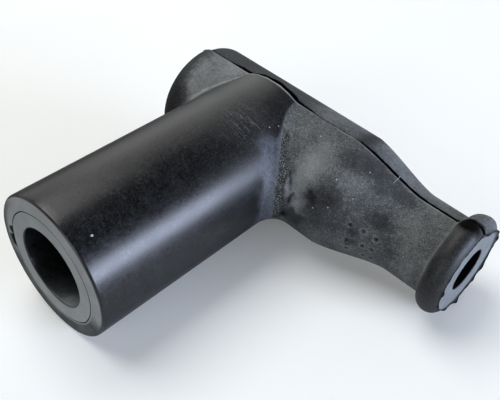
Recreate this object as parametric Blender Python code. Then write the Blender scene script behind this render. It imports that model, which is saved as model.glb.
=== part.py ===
"""A right-angled rubber spark plug cap, lying on its side as it would on a bench.

The cap is one rubber moulding: a straight barrel that pushes over the plug's insulator, and an
arm across its end, closed at one end and tapering at the other to a neck with a beaded lip that
takes the ignition lead. Its mould parts in the plane that holds the arm's axis and crosses the
barrel's: the barrel's half of the mould runs a little fuller than the other. Inside, a coiled
wire grips the plug's terminal, and its end runs down the lead as a spike.

The shapes are made about the point where the two axes cross: the barrel runs towards -Y, the
arm towards +X, and the parting plane is Y = 0. The frame then lays them down: barrel level,
lip on the floor, origin under the middle.
"""

from math import acos, asin, atan2, cos, hypot, pi, radians, sin, sqrt

import bmesh
import bpy
import numpy as np
from mathutils import Matrix, Vector

MM = 0.001

# The barrel
BARREL_DIAMETER = 21.6 * MM
BARREL_LENGTH = 41.9 * MM  # from its mouth to the arm's axis
MOUTH_EDGE_RADIUS = 0.5 * MM
PLUG_BORE_DIAMETER = 12.0 * MM
PLUG_BORE_SHOULDER = 12.0 * MM  # from the arm's axis to where the bore starts to narrow
SHOULDER_LENGTH = 1.8 * MM

# The arm
ARM_DIAMETER = 19.1 * MM
CLOSED_END_REACH = 15.8 * MM  # from the barrel's axis
CLOSED_END_RADIUS = 2.6 * MM
TAPER_START = 17.1 * MM
TAPER_LENGTH = 11.4 * MM
TAPER_SOFTNESS = 0.4  # 0 is a straight cone with two hard corners, 1 a full S
NECK_DIAMETER = 13.1 * MM
LIP_REACH = 38.4 * MM
BEAD_RADIUS = 1.9 * MM
BEAD_DIAMETER = 16.4 * MM
BEAD_SETBACK = 1.8 * MM  # from the lip's flat face to the middle of the bead
BEAD_ROOT_RADIUS = 0.6 * MM
LEAD_BORE_DIAMETER = 6.7 * MM

# Where the two meet
ELBOW_FILLET_RADIUS = 4.2 * MM
END_FILLET_RADIUS = 1.8 * MM
PARTING_STEP = 0.25 * MM  # how far the plain half of the mould runs under the barrel's half

# The terminal
WIRE_DIAMETER = 0.9 * MM
COIL_BORE_DIAMETER = 5.9 * MM
COIL_TURNS = 5
COIL_PITCH = 1.25 * MM
SPIKE_LENGTH = 19.0 * MM  # from the barrel's axis
SPIKE_RISE_LENGTH = 7.5 * MM
FIT_CLEARANCE = 0.3 * MM

# Fineness of the solids
ROUND_SIDES = 64
FILLET_STATIONS = 26
ARC_STEPS = 6
TAPER_STEPS = 8
STEPS_PER_TURN = 18
OVERLAP = 1.0 * MM  # how far shapes that join reach into each other
FILLET_BITE = 0.03 * MM  # how far a fillet's edges sink into what it blends

barrel_radius = BARREL_DIAMETER / 2
arm_radius = ARM_DIAMETER / 2
neck_radius = NECK_DIAMETER / 2
bead_ring_radius = BEAD_DIAMETER / 2 - BEAD_RADIUS
bead_place = LIP_REACH - BEAD_SETBACK
plug_bore_radius = PLUG_BORE_DIAMETER / 2
lead_bore_radius = LEAD_BORE_DIAMETER / 2
coil_radius = (COIL_BORE_DIAMETER + WIRE_DIAMETER) / 2
pocket_radius = COIL_BORE_DIAMETER / 2 + WIRE_DIAMETER + FIT_CLEARANCE


def clear_scene():
    for obj in list(bpy.data.objects):
        bpy.data.objects.remove(obj, do_unlink=True)


def finish(name, color, roughness, metallic=0.0):
    """A plain Principled material."""
    material = bpy.data.materials.new(name)
    material.use_nodes = True
    shader = material.node_tree.nodes["Principled BSDF"]
    shader.inputs["Base Color"].default_value = (*color, 1.0)
    shader.inputs["Roughness"].default_value = roughness
    shader.inputs["Metallic"].default_value = metallic
    return material


def arc(centre, radius, start, end, steps):
    """Points (along, out) on an arc, its angles measured from the axis towards outwards."""
    angles = np.linspace(start, end, steps + 1)
    return [(centre[0] + radius * cos(a), centre[1] + radius * sin(a)) for a in angles]


def add_object(name, mesh_builder):
    mesh = bpy.data.meshes.new(name)
    bmesh.ops.recalc_face_normals(mesh_builder, faces=mesh_builder.faces)
    mesh_builder.to_mesh(mesh)
    mesh_builder.free()
    obj = bpy.data.objects.new(name, mesh)
    bpy.context.scene.collection.objects.link(obj)
    return obj


def as_helper(obj):
    obj.hide_render = True
    obj.display_type = "WIRE"
    return obj


def turned(name, profile, axis):
    """A closed solid of revolution from a profile of (along, out) points that ends on its axis."""
    direction = Vector(axis)
    builder = bmesh.new()
    points = [builder.verts.new(direction * along + Vector((0, 0, out))) for along, out in profile]
    edges = [builder.edges.new(pair) for pair in zip(points, points[1:])]
    bmesh.ops.spin(
        builder,
        geom=points + edges,
        cent=(0, 0, 0),
        axis=direction,
        angle=2 * pi,
        steps=ROUND_SIDES,
        use_merge=True,
    )
    bmesh.ops.remove_doubles(builder, verts=builder.verts, dist=1e-7)
    return add_object(name, builder)


def combine(target, other, operation):
    modifier = target.modifiers.new(other.name, "BOOLEAN")
    modifier.operation = operation
    modifier.object = other
    modifier.solver = "EXACT"
    as_helper(other)


def barrel():
    """The cylinder over the plug, with a rounded edge at its mouth. It runs past the parting plane."""
    edge = MOUTH_EDGE_RADIUS
    rounding = arc((-BARREL_LENGTH + edge, barrel_radius - edge), edge, pi, pi / 2, ARC_STEPS // 2)
    far = 2 * OVERLAP
    return turned(
        "barrel",
        [(-BARREL_LENGTH, 0.0), *rounding, (far, barrel_radius), (far, 0.0)],
        (0, 1, 0),
    )


def arm_profile(shrink):
    """The arm's outline from its closed end to its lip, drawn in by the given amount."""
    radius = arm_radius - shrink
    corner = CLOSED_END_RADIUS
    end = -CLOSED_END_REACH + shrink
    closed = arc((end + corner, radius - corner), corner, pi, pi / 2, ARC_STEPS)

    share = np.linspace(0, 1, TAPER_STEPS + 1)
    soft = share * share * (3 - 2 * share)
    fall = (1 - TAPER_SOFTNESS) * share + TAPER_SOFTNESS * soft
    stations = TAPER_START + TAPER_LENGTH * share
    taper = list(zip(stations, arm_radius + (neck_radius - arm_radius) * fall - shrink))

    tube = BEAD_RADIUS - shrink
    root = BEAD_ROOT_RADIUS
    neck = neck_radius - shrink
    # The root's arc touches the neck and the bead.
    root_out = neck + root
    root_place = bead_place - sqrt(max((tube + root) ** 2 - (root_out - bead_ring_radius) ** 2, 0.0))
    touch = atan2(root_out - bead_ring_radius, root_place - bead_place)
    root_arc = arc((root_place, root_out), root, -pi / 2, touch - pi, ARC_STEPS // 2)
    bead = arc((bead_place, bead_ring_radius), tube, touch, 0.0, 2 * ARC_STEPS)
    beyond = LIP_REACH + OVERLAP
    front = [(beyond, bead_ring_radius - BEAD_RADIUS), (beyond, 0.0)]
    return [(end, 0.0), *closed, *taper, *root_arc, *bead[1:], *front]


def fillet(name, side, radius):
    """The blend in the corner between the barrel and the arm, on one side of the barrel.

    A ball rolls along both cylinders. Each station's section is the ball's arc between the two
    points that it touches, closed by a corner inside both. The last stations go straight on
    through the parting plane, where the barrel stops.
    """
    heights = (arm_radius + radius) * np.sin(np.linspace(-pi / 2, pi / 2, FILLET_STATIONS + 1))
    places = []
    for height in heights:
        out = sqrt(max((barrel_radius + radius) ** 2 - height**2, 0.0))
        back = sqrt(max((arm_radius + radius) ** 2 - height**2, 0.0))
        places.append(Vector((side * out, -back, height)))
    past = Vector((0, OVERLAP, 0))
    places = [places[0] + past, *places, places[-1] + past]

    builder = bmesh.new()
    rings = []
    for place in places:
        ball = Vector((place.x, min(place.y, 0.0), place.z))
        to_barrel = -Vector((ball.x, 0, ball.z)).normalized()
        to_arm = -Vector((0, ball.y, ball.z)).normalized()
        middle = (to_barrel + to_arm).normalized()
        half = acos(max(-1.0, min(1.0, to_barrel.dot(middle))))
        section = []
        for share in np.linspace(0, 1, ARC_STEPS + 1):
            ray = (to_barrel * (1 - share) + to_arm * share).normalized()
            section.append(place + ray * (radius + FILLET_BITE))
        section.append(place + middle * (radius / cos(half) + OVERLAP / 2))
        rings.append([builder.verts.new(point) for point in section])
    count = len(rings[0])
    for first, second in zip(rings, rings[1:]):
        for i in range(count):
            j = (i + 1) % count
            builder.faces.new((first[i], first[j], second[j], second[i]))
    builder.faces.new(rings[0])
    builder.faces.new(rings[-1])
    return add_object(name, builder)


def barrel_side_half_space():
    """Everything on the barrel's side of the parting plane."""
    size = 2 * (BARREL_LENGTH + LIP_REACH + CLOSED_END_REACH)
    builder = bmesh.new()
    bmesh.ops.create_cube(builder, size=size)
    bmesh.ops.translate(builder, verts=builder.verts, vec=(0, -size / 2, 0))
    return add_object("barrel_side", builder)


def plug_core():
    """The pin that leaves the plug bore and, past its shoulder, the terminal's pocket."""
    mouth = -BARREL_LENGTH - OVERLAP
    shoulder = -PLUG_BORE_SHOULDER
    floor = lead_bore_radius + FIT_CLEARANCE
    return turned(
        "plug_core",
        [
            (mouth, 0.0),
            (mouth, plug_bore_radius),
            (shoulder, plug_bore_radius),
            (shoulder + SHOULDER_LENGTH, pocket_radius),
            (floor, pocket_radius),
            (floor, 0.0),
        ],
        (0, 1, 0),
    )


def lead_core():
    """The pin that leaves the lead's bore. Its flange leaves the lip's flat face."""
    flange = BEAD_DIAMETER
    beyond = LIP_REACH + 2 * OVERLAP
    return turned(
        "lead_core",
        [
            (0.0, 0.0),
            (0.0, lead_bore_radius),
            (LIP_REACH, lead_bore_radius),
            (LIP_REACH, flange),
            (beyond, flange),
            (beyond, 0.0),
        ],
        (1, 0, 0),
    )


def rubber_boot():
    """The moulding: the barrel's half of the mould, joined to the slightly smaller plain half."""
    boot = turned("rubber_boot", arm_profile(0.0), (1, 0, 0))
    combine(boot, barrel(), "UNION")
    combine(boot, fillet("elbow_fillet", 1, ELBOW_FILLET_RADIUS), "UNION")
    combine(boot, fillet("end_fillet", -1, END_FILLET_RADIUS), "UNION")
    combine(boot, barrel_side_half_space(), "INTERSECT")
    combine(boot, turned("plain_half", arm_profile(PARTING_STEP), (1, 0, 0)), "UNION")
    combine(boot, plug_core(), "DIFFERENCE")
    combine(boot, lead_core(), "DIFFERENCE")
    boot.data.shade_smooth()
    boot.data.set_sharp_from_angle(angle=radians(35))
    boot.data.materials.append(finish("moulded_black_rubber", (0.028, 0.029, 0.032), 0.5))
    return boot


def terminal_path():
    """The wire's middle line: a coil about the barrel's axis, then a spike along the arm's."""
    steps = COIL_TURNS * STEPS_PER_TURN
    half_turn = STEPS_PER_TURN // 2
    last = -pi / 2  # the wire leaves the coil here, heading along the arm
    points = []
    for step in range(steps + half_turn + 1):
        angle = last - 2 * pi * (steps + half_turn - step) / STEPS_PER_TURN
        if step <= steps:
            along = -COIL_PITCH - COIL_PITCH * (steps - step) / STEPS_PER_TURN
        else:
            along = -COIL_PITCH * (1 - (step - steps) / half_turn)
        points.append((coil_radius * cos(angle), along, coil_radius * sin(angle)))
    for share in np.linspace(0, 1, STEPS_PER_TURN // 2 + 1)[1:]:
        rise = share * share * (3 - 2 * share)
        points.append((SPIKE_RISE_LENGTH * share, 0.0, -coil_radius * (1 - rise)))
    points.append((SPIKE_LENGTH, 0.0, 0.0))
    return points


def terminal_spring():
    curve = bpy.data.curves.new("terminal_spring", "CURVE")
    curve.dimensions = "3D"
    curve.bevel_depth = WIRE_DIAMETER / 2
    curve.bevel_resolution = 2
    curve.use_fill_caps = True
    points = terminal_path()
    line = curve.splines.new("POLY")
    line.points.add(len(points) - 1)
    for point, place in zip(line.points, points):
        point.co = (*place, 1.0)
    spring = bpy.data.objects.new("terminal_spring", curve)
    bpy.context.scene.collection.objects.link(spring)
    curve.materials.append(finish("plated_spring_wire", (0.55, 0.54, 0.5), 0.35, 1.0))
    return spring


def lay_down(boot):
    """Puts every shape in one frame: the barrel level on the floor, turned about it until the
    bead touches the floor too, and the origin under the middle of the boot."""
    reach = hypot(bead_place, bead_ring_radius)
    tilt = asin((barrel_radius - BEAD_RADIUS) / reach) - atan2(bead_ring_radius, bead_place)
    turn = Matrix.Rotation(tilt, 4, "Y")
    frame = bpy.data.objects.new("cap_frame", None)
    for shape in list(bpy.context.scene.collection.objects):
        shape.parent = frame
    bpy.context.scene.collection.objects.link(frame)

    bpy.context.view_layer.update()
    shown = boot.evaluated_get(bpy.context.evaluated_depsgraph_get())
    corners = np.array([turn @ vertex.co for vertex in shown.data.vertices])
    middle = (corners.min(axis=0) + corners.max(axis=0)) / 2
    frame.matrix_world = Matrix.Translation((-middle[0], -middle[1], barrel_radius)) @ turn


clear_scene()
boot = rubber_boot()
terminal_spring()
lay_down(boot)
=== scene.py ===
"""The looks of a right-angled rubber spark plug cap that lies on a pale bench.

The boot is one moulding of black rubber: a polished barrel, a duller arm across its end, a
rolled corner between them, a parting line with its flash, and the torn flash round both holes.
The coiled wire terminal inside is drawn with round wire. Shapes are worked out in millimetres
about the point where the two axes cross, with the barrel towards -Y, the arm towards +X and the
parting plane at Y = 0, and are then laid where the frame holds them.
"""

from math import asin, atan2, hypot, pi, radians

import bmesh
import bpy
import numpy as np
from mathutils import Matrix, Vector


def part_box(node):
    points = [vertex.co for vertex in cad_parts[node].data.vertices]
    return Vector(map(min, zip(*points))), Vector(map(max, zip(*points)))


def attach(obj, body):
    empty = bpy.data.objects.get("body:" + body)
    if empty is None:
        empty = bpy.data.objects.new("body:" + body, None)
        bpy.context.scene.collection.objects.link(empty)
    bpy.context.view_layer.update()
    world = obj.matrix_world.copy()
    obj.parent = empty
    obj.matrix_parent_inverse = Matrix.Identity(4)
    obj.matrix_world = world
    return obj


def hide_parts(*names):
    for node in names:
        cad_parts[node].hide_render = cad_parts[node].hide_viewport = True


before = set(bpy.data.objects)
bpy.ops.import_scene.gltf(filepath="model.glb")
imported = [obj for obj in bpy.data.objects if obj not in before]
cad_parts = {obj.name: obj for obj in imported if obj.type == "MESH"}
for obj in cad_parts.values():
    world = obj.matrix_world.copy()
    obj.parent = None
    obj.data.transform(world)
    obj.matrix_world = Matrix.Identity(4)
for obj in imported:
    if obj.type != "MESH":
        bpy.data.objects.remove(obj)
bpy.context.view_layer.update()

MM = 0.001

# The barrel
BARREL_RADIUS = 10.8
BARREL_REACH = 41.9
MOUTH_EDGE = 0.5
BORE_RADIUS = 6.0
BORE_EDGE = 0.3
SHOULDER_PLACE = 12.0
SHOULDER_LENGTH = 1.8
POCKET_RADIUS = 4.15
POCKET_FLOOR = 3.65
RING_LINE_RADIUS = 8.41
RING_LINE_WIDTH = 0.17
RING_LINE_DEPTH = 0.16
TEAR_ANGLE = 183.8  # degrees round the mouth, where the ring line widens into a tear
TEAR_SPREAD = 12.5  # degrees to either side
TEAR_WIDTH = 1.2
TEAR_DEPTH = 0.8

# The arm
ARM_RADIUS = 9.55
CLOSED_END = 15.8
CLOSED_END_ROUNDING = 2.6
TAPER_START = 17.1
TAPER_LENGTH = 11.4
TAPER_SOFTNESS = 0.4
TAPER_CORNER = 0.9
NECK_RADIUS = 6.55
LIP_PLACE = 38.4
BEAD_RADIUS = 1.9
BEAD_RING = 6.3
BEAD_PLACE = 36.6
BEAD_ROOT = 0.6
LIP_FACE_RADIUS = 6.9
LEAD_BORE = 3.35

# Where the two meet, and the parting line
ELBOW_BALL = 4.2  # radius of the corner between barrel and arm
END_BALL = 1.8  # radius of the corner between barrel and closed end
PARTING_STEP = 0.25  # how far the plain half runs under the barrel's half
RIM_ANGLE = radians(88.5)  # round the arm, where the front surfaces stop and the seam starts
GROOVE_END = 2.6  # how far behind the parting plane the seam's surface ends
GROOVE_DEPTH = 0.5
BEAD_STEP = 0.42  # how far the plain half's bead stands out at the top, towards the lead
MERGE_DISTANCE = 0.002

# Marks of use and moulding. Pits in the arm, by their middles
PITS = [
    (22.9, -7.65, 2.3),
    (24.9, -7.1, 2.1),
    (23.1, -7.95, -0.5),
    (23.2, -7.5, -2.4),
    (25.4, -7.2, -0.4),
    (25.6, -6.7, -2.6),
    (26.9, -6.6, 1.7),
    (26.8, -6.9, -0.35),
    (26.9, -6.5, -2.3),
]
# Crumbs of dust, by their middles and radii
DUST = [
    (5.9, -39.0, 9.05, 0.17),
    (-9.1, 4.75, 8.0, 0.09),
    (12.15, -2.8, 9.1, 0.11),
    (18.3, -6.2, 6.9, 0.12),
    (21.2, -2.6, 8.1, 0.1),
    (17.25, -9.2, 2.5, 0.09),
    (19.2, -8.4, 3.5, 0.1),
    (21.6, -6.3, 5.6, 0.09),
    (31.4, -6.3, 1.7, 0.08),
    (30.1, -6.3, -1.6, 0.08),
    (6.4, -5.6, 8.9, 0.08),
    (6.0, -7.2, 9.3, 0.08),
]
# A short fibre across the parting line: two ends and the point between that bends it
FIBRE = [(24.44, -1.2, 7.5), (24.49, -0.32, 7.72), (24.3, 0.69, 7.62)]
FIBRE_RADIUS = 0.032
# Tabs of the torn edge round the lip: degrees round it, spread in degrees, height, outward lean
TABS = [
    (164, 9, 0.22, 0.12),
    (268, 5, 0.34, 0.2),
    (4, 4, 0.24, 0.1),
    (296, 8, 0.2, 0.1),
    (212, 7, 0.16, 0.1),
    (232, 4, 0.14, 0.1),
    (336, 5, 0.16, 0.12),
]
# The crinkled crescent in the corner: shares of the corner and degrees round the arm
CRESCENT_SHARES = (0.36, 0.78)
CRESCENT_ANGLES = (-34, 61)
# The scuffed place on top of the barrel: its middle and reach
SCUFF_PLACE = (3.4, -9.7)
SCUFF_REACH = 3.6
# Paler and darker patches of the arm: place along it, degrees round it, reach, amount.
# Distances round the arm are taken at its middling radius.
MIDDLING_RADIUS = 9.0
PATCHES = [
    (8.6, 68, 2.6, 0.02),
    (11.5, 62, 2.8, 0.03),
    (14.8, 57, 2.4, 0.09),
    (13.4, 45, 2.0, 0.09),
    (14.3, 36, 1.5, 0.09),
    (13.3, 23, 1.2, 0.2),
    (15.0, 13, 1.0, 0.2),
    (14.6, 4, 0.8, 0.2),
    (19.5, 50, 2.0, 0.03),
    (30.0, 40, 3.0, 0.06),
    (16.3, 24, 0.6, -0.7),
    (16.8, 19, 0.6, -0.25),
    (17.9, 27, 1.1, -0.16),
    (18.8, 33, 1.3, -0.15),
    (17.6, 69, 1.4, -0.18),
    (19.6, 74, 1.5, -0.16),
    (21.5, 80, 1.8, -0.16),
    (24.0, 76, 2.0, -0.16),
    (27.0, 78, 1.6, -0.18),
    (25.8, 36, 1.4, -0.2),
    (27.2, 37, 1.2, -0.15),
    (23.6, 9, 0.7, -0.25),
    (23.5, -4, 0.7, -0.22),
    (14.0, -8, 1.6, -0.25),
    (13.9, 10, 0.8, -0.1),
    (12.2, 6, 0.7, -0.4),
    (29.6, 4, 1.2, -0.1),
    (20.0, 12, 3.0, -0.14),
    (17.0, 5, 2.5, -0.12),
    (28.5, 20, 1.5, -0.1),
]

# The terminal
WIRE_RADIUS = 0.45
COIL_RADIUS = 3.4
COIL_TURNS = 5
COIL_PITCH = 1.25
SPIKE_REACH = 19.0
SPIKE_RISE = 7.5

# The photo's viewpoint, in the frame's millimetres
CAMERA_PLACE = (49.82, -55.68, 80.14)
CAMERA_AIM = (-9.829, 11.552, 0.622)
CAMERA_ROLL = 2.716
CAMERA_LENS = 51.2

# Sizes of the patterns in rubber, wire and bench; the finest is about the least the photo shows
FINE_GRAIN = 0.18
FLECKS = 0.5
SMUDGES = 2.5
WIRE_STREAKS = 0.3
BENCH_CLOUDS = 30.0

# How finely the surfaces are cut
ELBOW_COLUMNS = 176
END_COLUMNS = 96
TOP_COLUMNS = 28
BARREL_ROWS = 44
BACK_COLUMNS = 72
ELBOW_ROLL_ROWS = 49
END_ROLL_ROWS = 11


def smooth(share):
    """3 s^2 - 2 s^3 on the share held between 0 and 1."""
    share = np.clip(share, 0.0, 1.0)
    return share * share * (3 - 2 * share)


def hump(distance, width):
    """A bell: exp(-(distance / width)^2)."""
    return np.exp(-((distance / width) ** 2))


def lumps(points, size, seed):
    """Smooth noise between -1 and 1: random values on a lattice of the given size, blended."""
    place = np.asarray(points, float) / size + 37.17 * seed
    cell = np.floor(place).astype(np.int64)
    blend = smooth(place - cell)
    total = np.zeros(place.shape[:-1])
    for corner in np.ndindex(2, 2, 2):
        where = cell + np.array(corner)
        mixed = where[..., 0] * 73856093 ^ where[..., 1] * 19349663 ^ where[..., 2] * 83492791
        mixed = (mixed ^ (mixed >> 13)) * 1274126177 & 0x7FFFFFFF
        value = (mixed ^ (mixed >> 16)) % 65536 / 32767.5 - 1.0
        weight = np.where(np.array(corner) == 1, blend, 1 - blend).prod(axis=-1)
        total += value * weight
    return total


def wander(places, size, seed):
    """The same noise along a line of numbers."""
    places = np.asarray(places, float)
    return lumps(np.stack([places, 0 * places, 0 * places], -1), size, seed)


def ball_middle(angle, ball):
    """Where a ball that touches barrel and arm has its middle, at an angle round the arm: it lies
    on the cylinder of radius arm + ball about X and on the one of barrel + ball about Y."""
    up = (ARM_RADIUS + ball) * np.sin(angle)
    away = -(ARM_RADIUS + ball) * np.cos(angle)
    along = np.sqrt((BARREL_RADIUS + ball) ** 2 - up**2)
    return along, away, up


def fillet(side, ball, angle, share):
    """The rolled corner: middle - ball * ray, the ray turning evenly from the barrel's outward
    direction to the arm's."""
    along, away, up = ball_middle(angle, ball)
    middle = np.stack([side * along, away, up], -1)[:, None]
    barrel_ray = np.stack([side * along, 0 * up, up], -1)[:, None] / (BARREL_RADIUS + ball)
    arm_ray = np.stack([0 * up, away, up], -1)[:, None] / (ARM_RADIUS + ball)
    turn = np.arccos((barrel_ray * arm_ray).sum(-1, keepdims=True))
    share = share[None, :, None]
    ray = (np.sin((1 - share) * turn) * barrel_ray + np.sin(share * turn) * arm_ray) / np.sin(turn)
    return middle - ball * ray


def turned(along, out, angle, axis):
    """A profile turned about X (angle from -Y towards +Z) or about Y (angle from +X to +Z)."""
    along, out, angle = np.broadcast_arrays(along, out, angle)
    if axis == "X":
        return np.stack([along, -out * np.cos(angle), out * np.sin(angle)], -1)
    return np.stack([out * np.cos(angle), along, out * np.sin(angle)], -1)


def bow(centre, radius, start, end, steps):
    """Points (along, out) on an arc, without its first point."""
    angle = np.linspace(start, end, steps + 1)[1:]
    return centre[0] + radius * np.cos(angle), centre[1] + radius * np.sin(angle)


def torn_edge(angle):
    """How far the lip's flash stands out, and how far it leans outwards, round the lip."""
    degrees = np.degrees(angle) % 360
    far_side = smooth((degrees - 110) / 40) * smooth((300 - degrees) / 30)
    stand = 0.09 + 0.15 * far_side + 0.05 * wander(degrees, 7.0, 3) + 0.04 * wander(degrees, 2.5, 4)
    lean = 0.02 * wander(degrees, 9.0, 5)
    for place, spread, height, tilt in TABS:
        near = hump((degrees - place + 180) % 360 - 180, spread)
        stand = stand + height * near
        lean = lean + tilt * near
    return np.maximum(stand, 0.03), lean


def arm_stations(step):
    """The arm's outline from the start of its taper to the middle of its lip, as arrays along,
    out and flash. Flash is 1 where the outline runs over the torn edge round the lip."""
    share = np.linspace(0, 1, 67)[1:]
    fall = (1 - TAPER_SOFTNESS) * share + TAPER_SOFTNESS * smooth(share)
    taper = TAPER_START + TAPER_LENGTH * share, ARM_RADIUS + (NECK_RADIUS - ARM_RADIUS) * fall - step

    tube = BEAD_RADIUS - step
    neck = NECK_RADIUS - step
    root_out = neck + BEAD_ROOT
    root_place = BEAD_PLACE - np.sqrt((tube + BEAD_ROOT) ** 2 - (root_out - BEAD_RING) ** 2)
    touch = atan2(root_out - BEAD_RING, root_place - BEAD_PLACE)
    straight = np.linspace(TAPER_START + TAPER_LENGTH, root_place, 24)[1:]
    root = bow((root_place, root_out), BEAD_ROOT, -pi / 2, touch - pi, 6)
    leave = asin((LIP_FACE_RADIUS + 0.05 - BEAD_RING) / tube)
    bead = bow((BEAD_PLACE, BEAD_RING), tube, touch, leave, 24)
    lip = [0.04, 0.0, -0.11, -0.17, -0.5, -1.2, -2.2, -3.2, -LIP_FACE_RADIUS]
    face = LIP_PLACE + 0 * np.array(lip), LIP_FACE_RADIUS + np.array(lip)

    along = np.concatenate([taper[0], straight, root[0], bead[0], face[0]])
    out = np.concatenate([taper[1], neck + 0 * straight, root[1], bead[1], face[1]])
    flash = np.zeros(len(along))
    first_of_lip = len(along) - len(lip)
    flash[first_of_lip + 1 : first_of_lip + 3] = 1.0
    # The two corners of the taper are rounded by averaging over a short length.
    even = np.linspace(TAPER_START - 3, TAPER_START + TAPER_LENGTH + 3, 400)
    corners = [TAPER_START - 3, TAPER_START, *taper[0], straight[-1]]
    known = np.interp(even, corners, [ARM_RADIUS - step] * 2 + [*taper[1], neck])
    window = np.hanning(round(2 * TAPER_CORNER / (even[1] - even[0])))
    softened = np.convolve(known, window / window.sum(), "same")
    near_taper = along < TAPER_START + TAPER_LENGTH + 1.5
    out[near_taper] = np.interp(along[near_taper], even, softened)
    return along, out, flash


def arm_right(angle, step=0.0):
    """The arm beyond the elbow: cylinder from the rolled corner to the taper, then the outline."""
    start = ball_middle(angle, ELBOW_BALL)[0][:, None]
    share = np.linspace(0, 1, 37)[None]
    near_along = start + (TAPER_START - start) * share
    near_out = ARM_RADIUS - step + 0 * near_along
    along, out, flash = arm_stations(step)
    full = (len(angle), len(along))
    along = np.concatenate([near_along, np.broadcast_to(along, full)], 1)
    out = np.concatenate([near_out, np.broadcast_to(out, full)], 1)
    flash = np.concatenate([0 * near_out, np.broadcast_to(flash, full)], 1)
    return along, out, flash


def arm_left(angle, step=0.0):
    """The closed end: cylinder from the rolled corner, a rounding, and a flat end to the axis."""
    start = -ball_middle(angle, END_BALL)[0][:, None]
    corner = CLOSED_END_ROUNDING
    edge = -CLOSED_END + corner + step
    share = np.linspace(0, 1, 11)[None]
    near_along = start + (edge - start) * share
    near_out = ARM_RADIUS - step + 0 * near_along
    round_along, round_out = bow((edge, ARM_RADIUS - step - corner), corner, pi / 2, pi, 14)
    flat_out = round_out[-1] * np.linspace(1, 0, 9)[1:]
    flat_along = -CLOSED_END + step * smooth(flat_out / 3)
    full = (len(angle), len(round_out) + len(flat_out))
    along = np.concatenate([near_along, np.broadcast_to([*round_along, *flat_along], full)], 1)
    out = np.concatenate([near_out, np.broadcast_to([*round_out, *flat_out], full)], 1)
    return along, out, 0 * out


def arm_points(along, out, flash, angle):
    """Turns the arm's outline about X, with the torn edge added where flash is 1. On the plain
    half the top of the bead stands a little further out than on the barrel's half."""
    stand, lean = torn_edge(angle)
    degrees = np.degrees(angle)
    ahead = smooth((degrees - 90.2) / 1.2) * smooth((165 - degrees) / 35)
    ahead = BEAD_STEP * ahead * smooth((along - 35) / 1.5) * smooth((out - LIP_FACE_RADIUS + 0.3) / 0.15)
    return turned(along + flash * stand + ahead, out + flash * lean, angle, "X")


def barrel_columns():
    """The angle and the upper end of every line down the barrel, all the way round. Beside the
    arm a line ends where the rolled corner touches it, and above and below at the parting rim."""
    right = np.linspace(-RIM_ANGLE, RIM_ANGLE, ELBOW_COLUMNS + 1)
    left = np.linspace(RIM_ANGLE, -RIM_ANGLE, END_COLUMNS + 1)
    _, right_end, right_up = ball_middle(right, ELBOW_BALL)
    _, left_end, left_up = ball_middle(left, END_BALL)
    right_angle = np.arcsin(right_up / (BARREL_RADIUS + ELBOW_BALL))
    left_angle = pi - np.arcsin(left_up / (BARREL_RADIUS + END_BALL))
    over = np.linspace(0, 1, TOP_COLUMNS + 1)
    top_angle = right_angle[-1] + (left_angle[0] - right_angle[-1]) * over
    top_end = right_end[-1] + (left_end[0] - right_end[-1]) * over
    below = 2 * pi - top_angle[-2:0:-1]
    angle = np.concatenate([right_angle, top_angle[1:-1], left_angle, below, right_angle[:1] + 2 * pi])
    end = np.concatenate([right_end, top_end[1:-1], left_end, top_end[-2:0:-1], right_end[:1]])
    return angle, end, top_angle, top_end


def barrel_surface():
    """The barrel from the rim down to its mouth, round the mouth's edge, and over the mouth's
    face with its ring line. The line widens into a tear at one side."""
    angle, end, _, _ = barrel_columns()
    angle, end = angle[:, None], end[:, None]
    share = np.linspace(0, 1, BARREL_ROWS + 1)[None]
    wall_along = end + (-BARREL_REACH + MOUTH_EDGE - end) * share
    wall_out = BARREL_RADIUS + 0 * wall_along
    middle = -BARREL_REACH + MOUTH_EDGE, BARREL_RADIUS - MOUTH_EDGE
    edge_along, edge_out = bow(middle, MOUTH_EDGE, pi / 2, pi, 6)

    degrees = np.degrees(angle) % 360
    off = degrees - TEAR_ANGLE
    tear = smooth((TEAR_SPREAD + 1.5 - np.abs(off)) / 4) * (0.8 + 0.3 * wander(degrees, 4.0, 11))
    tear = tear * (1 - 0.8 * hump(off + 1.8, 1.2)) * (0.75 + 0.25 * smooth((off + 3) / 4))
    waver = 0.05 * wander(degrees, 14.0, 12)
    line_out = RING_LINE_RADIUS + waver + RING_LINE_WIDTH / 2 + TEAR_WIDTH * tear
    line_in = RING_LINE_RADIUS + waver - RING_LINE_WIDTH / 2
    depth = RING_LINE_DEPTH * (0.75 + 0.35 * wander(degrees, 23.0, 13)) + TEAR_DEPTH * tear
    outer = line_out + (edge_out[-1] - line_out) * np.linspace(1, 0, 6)[None, 1:]
    line = np.concatenate([line_out - 0.03, line_in + 0.03, line_in], 1)
    inner = line_in + (BORE_RADIUS + 0.4 - line_in) * np.linspace(0, 1, 7)[None, 1:]
    face_out = np.concatenate([outer, line, inner, 0 * degrees], 1)
    # The columns with their places line_out - 0.03 and line_in + 0.03 are the line's floor.
    sunk = np.zeros_like(face_out)
    sunk[:, 5:7] = depth
    face_along = -BARREL_REACH + sunk

    rows = (len(angle), len(edge_out))
    along = np.concatenate([wall_along, np.broadcast_to(edge_along, rows), face_along], 1)
    out = np.concatenate([wall_out, np.broadcast_to(edge_out, rows), face_out], 1)
    return turned(along, out, angle, "Y")


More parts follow.
